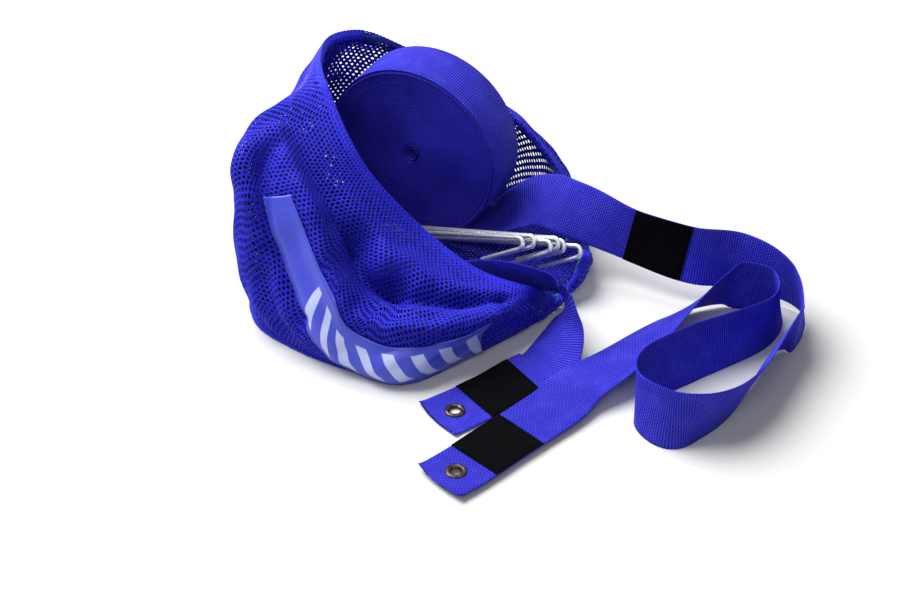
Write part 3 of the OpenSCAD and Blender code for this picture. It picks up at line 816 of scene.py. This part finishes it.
# ---- label band
# Each edge as column and row of the bag wall: lower, then upper.
BAND_ROWS = np.array([
    [10.33, 2.79, 10.58, 3.04], [10.62, 2.25, 10.92, 2.75], [11, 1.8, 11.29, 2.46],
    [11.25, 1.42, 11.5, 2.33], [11.62, 0.9, 11.7, 2.2], [11.95, 0.15, 11.92, 1.98],
    [12.55, 0.1, 12.3, 1.9], [13.1, 0.15, 12.85, 1.9], [13.65, 0.25, 13.4, 1.98],
    [14.08, 0.6, 13.75, 2.35]])
BAND_LIFT, BAND_T = 1.0 * MM, 0.4 * MM  # its gap to the net, and its thickness
BAND_SAG = BAND_GROOVE = 0.25 * MM  # its waviness, and the depth of its sewing lines
SEWN_AT, SEWN_HALF = 0.06, 0.015  # place and half width of these lines, in band widths
BAND_STITCH = (2.6 * MM, 1.9 * MM, 0.16 * MM)  # pitch, length and radius


def add_label_band():
    n, m = 150, 25  # points along, across
    q = along(BAND_ROWS, np.linspace(0, len(BAND_ROWS) - 1, n))
    k = np.linspace(0, 1, m)
    u = q[:, :1] + (q[:, 2:3] - q[:, :1]) * k
    v = q[:, 1:2] + (q[:, 3:4] - q[:, 1:2]) * k
    middle = cloth(u[:, m // 2], v[:, m // 2])
    s = lengths(middle)
    sag = BAND_SAG * waves(s[:, None], k[None, :] * 0.06, 0.025, seed=3)
    groove = BAND_GROOVE * np.exp(-((np.minimum(k, 1 - k) - SEWN_AT) / SEWN_HALF) ** 2)
    lift = BAND_LIFT + sag - groove[None, :]
    top, under = cloth(u, v, lift + BAND_T), cloth(u, v, lift)
    rings = np.concatenate([top, under[:, ::-1]], axis=1)
    band = loft("label_band_cloth", rings, s, np.concatenate([k, k[::-1]]), [BAND])
    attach(band, "bag")
    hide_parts("label_band")
    across = lengths(top[n // 2])[-1]
    areas = np.linalg.norm(np.diff(top, axis=1), axis=2).sum(1).mean() * s[-1]
    for name, column in (("band_seam_low", 1), ("band_seam_high", m - 2)):
        out = unit(top[:, column] - under[:, column])
        seam = stitches(name, top[:, column], out, *BAND_STITCH, BLUE_THREAD)
        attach(seam, "bag")


add_label_band()

# ---- webbing
WEB_W, WEB_T = 50 * MM, 0.9 * MM
# Rows of a strap: x, y and height of its lower edge in mm, lean from upright in degrees.
ROUTE_A = np.array([
    [-20, 120, 21, 80], [18, 109, 35, 54], [48, 86, 33, 32], [95, 56, 23, 9],
    [146, 35, 17, 20], [191, 35, 10, 14], [233, 1, 4, -13], [227, -47, 1, 4],
    [212, -63, 3, 22], [173, -132, 1, 21], [141, -162, 1, 11], [109, -168, 1, -12],
    [86, -143, 1, -2], [97, -112, 1, 12], [136, -83, 1, 14], [203, -42, 1, 1],
    [216, 1, 1, 13], [188, 11, 1, 3], [171, 6, 3, 21], [127, -24, 3, 50],
    [77, -80, 9.5, 74], [42, -108, 9.5, 88], [23, -130, 6.5, 90], [-21, -172, 5, 90],
    [-48, -199, 5, 90], [-70, -218, 5, 90]])
ROUTE_B = np.array([
    [-192, -7, 19, 82], [-180, -23, 11, 56], [-158, -25, 5, 28], [-125, -24, 4, 22],
    [-85, -13, 3, 22], [-56, -2, 3, 20], [-31, 4, 8, 0], [21, -5, 21, -36],
    [35, -19, 8, -15], [34, -37, 1, 46], [16.5, -74, 2, 93], [-25, -106, 2, 90],
    [-48, -123, 2, 90], [-72, -140, 2, 90]])
# Place on the floor, turn about the upright, radius, and angle and radius where the strap leaves.
ROLLS = {
    "a": {"at": (-83, 152), "yaw": -27, "r": 83, "leave": -65, "lay": 83 - 0.45},
    "b": {"at": (-194, 60), "yaw": -90, "r": 68, "leave": -65, "lay": 68 + 0.3 + 0.45}}
LEAVE_ROWS = (0.3, 20)  # mm from the roll to the two rows by which a strap leaves it
PATCH_IN = 38 * MM  # from the tip of a strap
PATCH_LEN, PATCH_T, PATCH_EDGE = 52 * MM, 1.4 * MM, 0.5 * MM
PATCH_MID_ROW = 5  # row of strap A where its middle patch begins, with the leaving rows
HOLE_R = 5.2 * MM + 1.2 * MM  # hole in the webbing round the barrel of an eyelet


def roll_centre(roll):
    """Middle of a roll that stands on the floor of the bag."""
    return MM * np.array([*roll["at"], 1.2 + 0.3 + roll["r"]])


def roll_axes(roll):
    """The roll's own x, y and width directions."""
    yaw = math.radians(roll["yaw"])
    return (np.array([math.cos(yaw), math.sin(yaw), 0]), np.array([0, 0, 1.0]),
            np.array([math.sin(yaw), -math.cos(yaw), 0]))


def strap_rows(route, roll):
    """The route with the two rows by which the strap leaves its roll."""
    leave = math.radians(roll["leave"])
    x, y, _ = roll_axes(roll)
    start = roll_centre(roll) + roll["lay"] * MM * (math.cos(leave) * x + math.sin(leave) * y)
    t = -math.sin(leave) * x + math.cos(leave) * y
    first = [np.append(start + d * MM * t, 90) for d in LEAVE_ROWS]
    return np.concatenate([first, route * [MM, MM, MM, 1]])


STRAP_READ = 6000  # points that a strap's length is read from
STRAP_STEP = RIB / 2


class Strap:
    """A strap at even steps along its own length."""

    def __init__(self, rows):
        self.rows = rows
        u = np.linspace(0, len(rows) - 1, STRAP_READ)
        s = lengths(self.middle(u))
        self.length = s[-1]
        self.s = np.linspace(0, self.length, int(self.length / STRAP_STEP) + 1)
        self.of_row = lambda row: float(np.interp(row, u, s))
        self.u = np.interp(self.s, s, u)
        e = 0.02  # rows to either side
        back, on = (self.middle(np.clip(self.u + d, 0, len(rows) - 1)) for d in (-e, e))
        t = unit(on - back)
        left = unit(np.stack([-t[:, 1], t[:, 0], 0 * t[:, 0]], -1))
        lean = np.radians(along(rows, self.u)[:, 3])[:, None]
        self.p = self.middle(self.u)
        self.side = np.cos(lean) * np.cross(t, left) + np.sin(lean) * left
        self.out = np.cross(t, self.side)

    def middle(self, u):
        x, y, z, lean = along(self.rows, u).T
        return np.stack([x, y, z + WEB_W / 2 * np.abs(np.cos(np.radians(lean)))], -1)

    def frame(self, s):
        """Middle, side and outward direction at lengths s."""
        return (at(s, self.s, values) for values in (self.p, self.side, self.out))


ACROSS, FACE = 20, 0.994  # cells across a strap, and how much of its width is face
RIB_H, NOTCH_H = 0.15 * MM, 0.18 * MM  # relief of the ribs on the faces, and along the edges
SLIM, EDGE_IN = 0.1 * MM, 0.25 * MM  # room for it in the thickness, and in the width
WANDER, CUP, FRAY = 0.25 * MM, 0.25 * MM, 0.35 * MM  # unevenness of edges, faces and tips
TIP, TIP_LIFT, TIP_ROUND = 10 * MM, 1.6 * MM, 2.2 * MM  # a tip's corners curl up and draw back
FOOT, FOOT_REACH = 0.05 * MM, 2.5 * MM  # edges that stand lower than the second stand at the first


def strap_rings(strap):
    """Ribbed cross-sections: upper face, rolled edge, lower face, rolled edge."""
    ribs = 1 - 2 * (np.arange(len(strap.s)) % 2)
    rib = RIB_H * ribs
    half = WEB_W / 2 - EDGE_IN + NOTCH_H * ribs + WANDER * waves(strap.s, 0, 0.06, seed=5)
    x = np.linspace(-1, 1, ACROSS + 1)
    cup = CUP * waves(strap.s[:, None], x[None, :] * 0.05, 0.09, seed=8)
    thick = WEB_T / 2 - SLIM
    level = np.concatenate([cup + thick + rib[:, None], cup[:, -1:],
                            (cup - thick - rib[:, None])[:, ::-1], cup[:, :1]], 1)
    place = np.concatenate([x * FACE, [1.0], x[::-1] * FACE, [-1.0]])
    p, side, out = (a[:, None, :] for a in (strap.p, strap.side, strap.out))
    rings = p + side * (half[:, None] * place)[..., None] + out * level[..., None]
    z = rings[..., 2]
    low, high = z.min(1, keepdims=True), z.max(1, keepdims=True)
    upright = np.clip((np.abs(strap.side[:, 2:]) - 0.8) / 0.15, 0, 1)
    stands = upright * np.clip((FOOT_REACH - low) / (0.4 * FOOT_REACH), 0, 1)
    rings[..., 2] -= stands * (low - FOOT) * (high - z) / (high - low)
    return rings, place * WEB_W / 2


def add_tail(name, node, strap, body, eyelet):
    """The free end of a strap, with a hole for its eyelet and a curled tip."""
    rings, w = strap_rings(strap)
    fray = FRAY * rng.standard_normal(rings.shape[1])
    t = unit(strap.p[-1] - strap.p[-4])
    rings[-1] += t * fray[:, None]
    curl = np.clip((strap.s - strap.length) / TIP + 1, 0, 1)[:, None] ** 2 * (2 * w / WEB_W) ** 2
    rings += curl[..., None] * (TIP_LIFT * strap.out[-1] - TIP_ROUND * t)
    low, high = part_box(eyelet)
    centre = np.array([low.x + high.x, low.y + high.y]) / 2
    edge = [ACROSS, ACROSS + 1, 2 * ACROSS + 2, 2 * ACROSS + 3]
    tail = loft(name, rings, strap.s, w, [WEBBING, SELVEDGE],
                slot_of=lambda j: np.isin(j, edge).astype(int),
                drop=lambda p: np.linalg.norm(p[:, :2] - centre, axis=1) < HOLE_R)
    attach(tail, body)
    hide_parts(node)


PATCH_GAP = 0.4 * MM  # room under a patch
PILE_EDGE, PILE_GAIN = 0.45, 0.4  # height of the pile at its edge, and its gain, in thicknesses
GAIN_IN, SEAM_IN, SEAM_HALF = 0.04, 0.09, 0.02  # distances from the edge, in half widths
PILE_ROUGH, SEAM_DEEP, SEWING_IN = 0.16 * MM, 0.45 * MM, 2.2 * MM
PATCH_STITCH = (2.8 * MM, 2.1 * MM, 0.17 * MM)  # pitch, length and radius


def add_patch(name, node, strap, start, body):
    """A hook-and-loop patch with a rough pile, sewn round its edge."""
    low = WEB_T / 2 + PATCH_GAP
    s = np.linspace(start, start + PATCH_LEN, 66)
    p, side, out = (values[:, None] for values in strap.frame(s))
    half = WEB_W / 2 - PATCH_EDGE
    x = np.linspace(-1, 1, 62)
    from_side, from_end = 1 - np.abs(x)[None, :], (np.minimum(s - s[0], s[-1] - s) / half)[:, None]
    grow = np.clip(np.minimum(from_side, from_end) / GAIN_IN, 0, 1)
    rough = PILE_ROUGH * rng.uniform(-1, 1, (len(s), len(x))) * grow
    seam = sum(np.exp(-((d - SEAM_IN) / SEAM_HALF) ** 2) for d in (from_side, from_end))
    pile = low + PATCH_T * (PILE_EDGE + PILE_GAIN * np.sqrt(grow)) + rough
    pile = pile - SEAM_DEEP * np.clip(seam, 0, 1)
    level = p + side * (half * x)[None, :, None]
    rings = np.concatenate([level + out * pile[..., None], (level + out * low)[:, ::-1]], 1)
    patch = loft(name, rings, s, np.concatenate([x, x[::-1]]) * half, [HOOK])
    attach(patch, body)
    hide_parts(node)
    q = np.linspace(start + SEWING_IN, start + PATCH_LEN - SEWING_IN, 60)
    w = np.linspace(-half + SEWING_IN, half - SEWING_IN, 60)
    lines = [(q, w[0]), (q, w[-1]), (np.full(60, q[0]), w), (np.full(60, q[-1]), w)]
    for number, (along_s, across) in enumerate(lines, 1):
        p, side, out = strap.frame(along_s)
        line = p + side * np.broadcast_to(across, 60)[:, None] + out * (low + 0.75 * PATCH_T)
        sewn = stitches(f"{name}_sewing_{number}", line, out, *PATCH_STITCH, BLACK_THREAD)
        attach(sewn, body)


# Gaps between turns: turns back from the end, width in mm, and widest places round the roll.
SLACK = [(1.2, 1.3, 0), (4.2, 1.2, 1), (17.3, 0.8, 2)]
SLACK_OPENS = 0.4  # turns that a gap takes to open
EYE = (2.0, 4.2, 7.6, 8.6)  # radii of the open turns at the eye, in mm
OVAL, OVAL_TURN, OVAL_TURNS = 3.0 * MM, 0.3, 44  # draws the eye out: how far, which way, how long
UNEVEN_TURNS = 0.13  # spread of the edges on the faces, in mm
PROUD = ((-6, None, 1.1), (-20, -6, 0.3))  # turns that stand out of the faces, and by how many mm
LEAN_H, DENT_H = 0.12 * MM, 0.10 * MM  # smooth unevenness of the faces, and of the rim
BEAD, PACKED = 0.3 * MM, 0.46  # rounding of the edges, and half thickness against pitch


def add_roll(name, node, roll, turns, per_turn, body):
    """A strap wound edge up from a small eye, a few outer turns standing clear."""
    a = np.arange(turns * per_turn + 1) / per_turn  # turns from the eye
    loose = MM * sum(gap for _, gap, _ in SLACK)
    outer = roll["r"] * MM - WEB_T / 2
    eye = np.array(EYE) * MM
    open_turns = len(eye) - 1
    pitch = (outer - eye[-1] - loose) / (turns - open_turns)
    angle = math.radians(roll["leave"]) + 2 * np.pi * (a - turns)
    r = np.interp(a, np.arange(len(eye)), eye) + pitch * np.clip(a - open_turns, 0, None)
    for back, gap, places in SLACK:
        swell = 0.5 + 0.5 * np.cos(places * (angle - angle[-1]))
        r = r + gap * MM * np.clip((a - turns + back) / SLACK_OPENS, 0, 1) * swell
    r = r + OVAL * np.sin(angle + OVAL_TURN) ** 2 * np.clip(1 - a / OVAL_TURNS, 0, 1)
    steps = np.random.default_rng(11).normal(0, UNEVEN_TURNS, turns + 3) * MM
    for first, last, height in PROUD:
        steps[first:last] += height * MM
    drift = np.interp(a, np.arange(turns + 3), steps)
    drift += LEAN_H * waves(angle * 0.02, a * 0.003, 0.05, seed=4)
    drift *= np.clip(turns - a, 0, 1)
    dents = DENT_H * waves(np.cos(angle), np.sin(angle), 0.9, seed=6)
    r = r + dents * np.clip((turns - a) / 3, 0, 1)
    thick = min(pitch, WEB_T) * PACKED
    half = WEB_W / 2 - BEAD
    section = [(-thick, half - BEAD), (0, half), (thick, half - BEAD),
               (thick, BEAD - half), (0, -half), (-thick, BEAD - half)]
    x, y, z = roll_axes(roll)
    spoke = np.cos(angle)[:, None] * x + np.sin(angle)[:, None] * y
    centre = roll_centre(roll)
    rings = np.stack([centre + spoke * (r + d)[:, None] + z * (h + drift)[:, None]
                      for d, h in section], 1)
    s = lengths(centre + spoke * r[:, None])
    wound = loft(name, rings, s, np.array([h for _, h in section]), [WEBBING, SELVEDGE],
                 slot_of=lambda j: np.isin(j, [0, 1, 3, 4]).astype(int))
    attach(wound, body)
    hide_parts(node)


strap_a = Strap(strap_rows(ROUTE_A, ROLLS["a"]))
strap_b = Strap(strap_rows(ROUTE_B, ROLLS["b"]))
add_tail("tail_a_webbing", "tail_a", strap_a, "roll_a", "eyelet_a")
add_tail("tail_b_webbing", "tail_b", strap_b, "bag", "eyelet_b")
end_a, end_b = (strap.length - PATCH_IN - PATCH_LEN for strap in (strap_a, strap_b))
add_patch("patch_a_mid_pile", "patch_a_mid", strap_a, strap_a.of_row(PATCH_MID_ROW), "roll_a")
add_patch("patch_a_end_pile", "patch_a_end", strap_a, end_a, "roll_a")
add_patch("patch_b_end_pile", "patch_b_end", strap_b, end_b, "bag")
add_roll("roll_a_webbing", "roll_a", ROLLS["a"], 92, 72, "roll_a")
add_roll("roll_b_webbing", "roll_b", ROLLS["b"], 72, 48, "bag")


# ---- spring of the cord lock
SPRING_D, SPRING_WIRE, SPRING_TURNS = 7 * MM, 0.6 * MM, 4
CUP_WALL, FIT, BUTTON_TRAVEL = 1.8 * MM, 0.1 * MM, 3 * MM
SPRING_SLIM = 0.9  # thickness of the drawn wire against the part's


def add_spring():
    """The part's spring, coiled in its cup from the cup's floor towards the button."""
    room = BUTTON_TRAVEL + SPRING_TURNS * SPRING_WIRE
    slot = (LOCK_H + room) / 2  # from the floor's outer face to the middle of the lock
    aim = np.array([math.sin(LOCK_YAW), -math.cos(LOCK_YAW), 0])
    a = np.linspace(0, 2 * np.pi * SPRING_TURNS, 24 * SPRING_TURNS + 1)
    rise = (room - SPRING_WIRE - 2 * FIT) * a / a[-1] + CUP_WALL + FIT + SPRING_WIRE / 2 - slot
    coil = np.cos(a)[:, None] * LOCK_SIDE + np.sin(a)[:, None] * np.array([0, 0, 1.0])
    path = LOCK_AT + rise[:, None] * aim + SPRING_D / 2 * coil
    spring = wire("lock_spring", path, SPRING_WIRE / 2 * SPRING_SLIM, STEEL)
    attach(spring, "cord_lock")
    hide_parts("cord_lock_spring")
    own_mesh(spring)


add_spring()


# ---- CAD nodes that stay
def dress(material, *names):
    for name in names:
        slots = NODES[name].material_slots
        if len(slots) == 0:
            NODES[name].data.materials.append(material)
        for slot in slots:
            slot.material = material


dress(STEEL, *[f"peg_{k}" for k in range(1, 7)])
dress(BRASS, "eyelet_a", "eyelet_a_washer", "eyelet_b", "eyelet_b_washer")
dress(PLASTIC, "cord_lock_body", "cord_lock_button")


# ---- floor and light
FLOOR_COLOR = (0.65, 0.65, 0.64, 1)
SKY = 0.18  # strength of the white world where it lights the set
AIM = (0, 0, 0.05)  # what both lamps point at


def add_floor():
    floor = mesh_piece("floor", [(-4, -4, 0), (4, -4, 0), (4, 6, 0), (-4, 6, 0)], [[0, 1, 2, 3]],
                       [Look("floor").finish(FLOOR_COLOR, 0.9, specular=0.1)])


def add_light(name, place, size, power):
    data = bpy.data.lights.new(name, "AREA")
    data.shape = "DISK"
    data.size = size
    data.energy = power
    light = add_object(name, data)
    light.location = place
    light.rotation_euler = (Vector(AIM) - Vector(place)).to_track_quat("-Z", "Y").to_euler()


def add_world():
    """White where the camera or a glossy ray sees it, and a dim light elsewhere."""
    world = bpy.context.scene.world = bpy.data.worlds.new("world")
    k = Nodes(world)
    ground = k.tree.nodes["Background"]
    rays = k.node("LightPath").outputs
    seen = k.math("MAXIMUM", rays["Is Camera Ray"], rays["Is Glossy Ray"])
    k.feed(ground, "Color", (1, 1, 1, 1))
    k.feed(ground, "Strength", k.ramp(seen, 0, 1, SKY, 1))


add_floor()
add_world()
add_light("key", (-1.5, 1.0, 2.8), 3.2, 242)
add_light("fill", (-0.2, -1.8, 1.7), 1.6, 12)
bpy.context.scene.view_settings.view_transform = "Standard"
